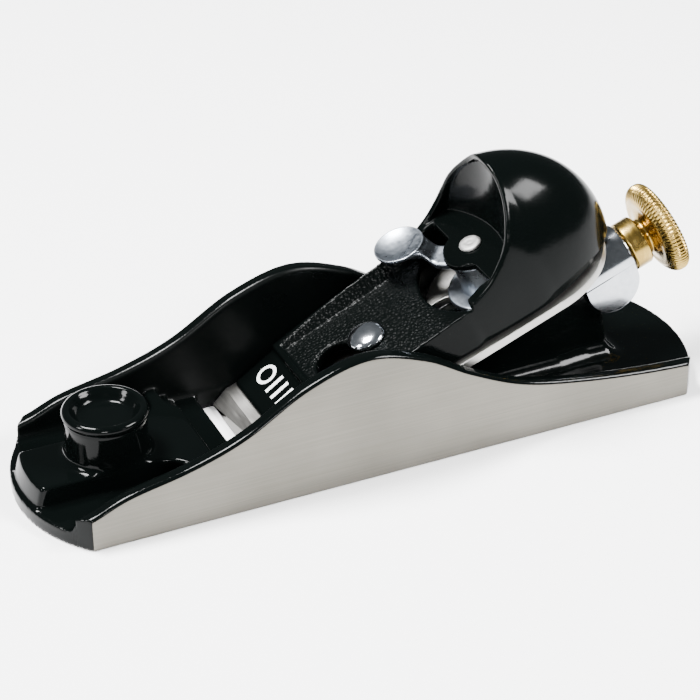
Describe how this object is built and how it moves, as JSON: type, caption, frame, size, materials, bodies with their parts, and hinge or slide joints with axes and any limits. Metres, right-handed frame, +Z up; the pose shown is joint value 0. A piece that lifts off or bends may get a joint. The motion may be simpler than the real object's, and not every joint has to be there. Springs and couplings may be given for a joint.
{
  "type": "hand plane",
  "caption": "Low-angle block plane for trimming wood: ribbed toe with a finger rest, bevel-up blade under a domed lever cap with a cam lever, brass screw depth feed.",
  "frame": {"origin": "centre of the whole object's box, on the plane of the sole's ground face", "axes": "+X from toe to heel along the sole, +Y across the sole to the side the cam lever points to at rest, +Z up from the sole"},
  "size_m": [0.1815, 0.0508, 0.0668],
  "materials": {
    "enamelled_iron": "gloss",
    "enamelled_cap": "gloss",
    "ground_blade": "ground",
    "plated_screw": "polished",
    "plated_lever": "polished",
    "plain_rivet": "matt",
    "plain_steel": "satin",
    "plated_yoke": "satin",
    "turned_brass": "satin"
  },
  "bodies": {
    "plane_body": {"body": "enamelled_iron", "finger_rest": "enamelled_iron"},
    "carriage": {"blade": "ground_blade", "yoke": "plated_yoke"},
    "feed_screw": {"depth_knob": "turned_brass", "depth_stud": "plain_steel", "stud_clip": "plain_steel"},
    "cap": {"lever_cap": "enamelled_cap", "cam_rivet": "plain_rivet", "cam_washer": "plain_steel"},
    "lever": {"cam_lever": "plated_lever"},
    "clamp_screw": {"cap_screw": "plated_screw"}
  },
  "joints": [
    {"name": "depth_feed", "type": "slide", "parent": "plane_body", "child": "carriage", "axis": [-0.9304, 0, -0.3665], "range_m": [-0.0015, 0.0032]},
    {"name": "adjuster_spin", "type": "hinge", "parent": "carriage", "child": "feed_screw", "pos_m": [0.07678, 0, 0.03229], "axis": [-0.9304, 0, -0.3665], "range_deg": [-540.1, 1152.1]},
    {"name": "cap_slide", "type": "slide", "parent": "plane_body", "child": "cap", "axis": [0.9304, 0, 0.3665], "range_m": [0, 0.0091]},
    {"name": "cam_swing", "type": "hinge", "parent": "cap", "child": "lever", "pos_m": [0.03304, 0, 0.03719], "axis": [-0.3665, 0, 0.9304], "range_deg": [0, 75]},
    {"name": "cap_screw_turn", "type": "hinge", "parent": "plane_body", "child": "clamp_screw", "pos_m": [0.00526, 0, 0.0155], "axis": [-0.3665, 0, 0.9304], "range_deg": [-180, 180]}
  ],
  "couplings": [
    {"joint": "adjuster_spin", "follows": "depth_feed", "rad_per_m": 6283.2}
  ]
}
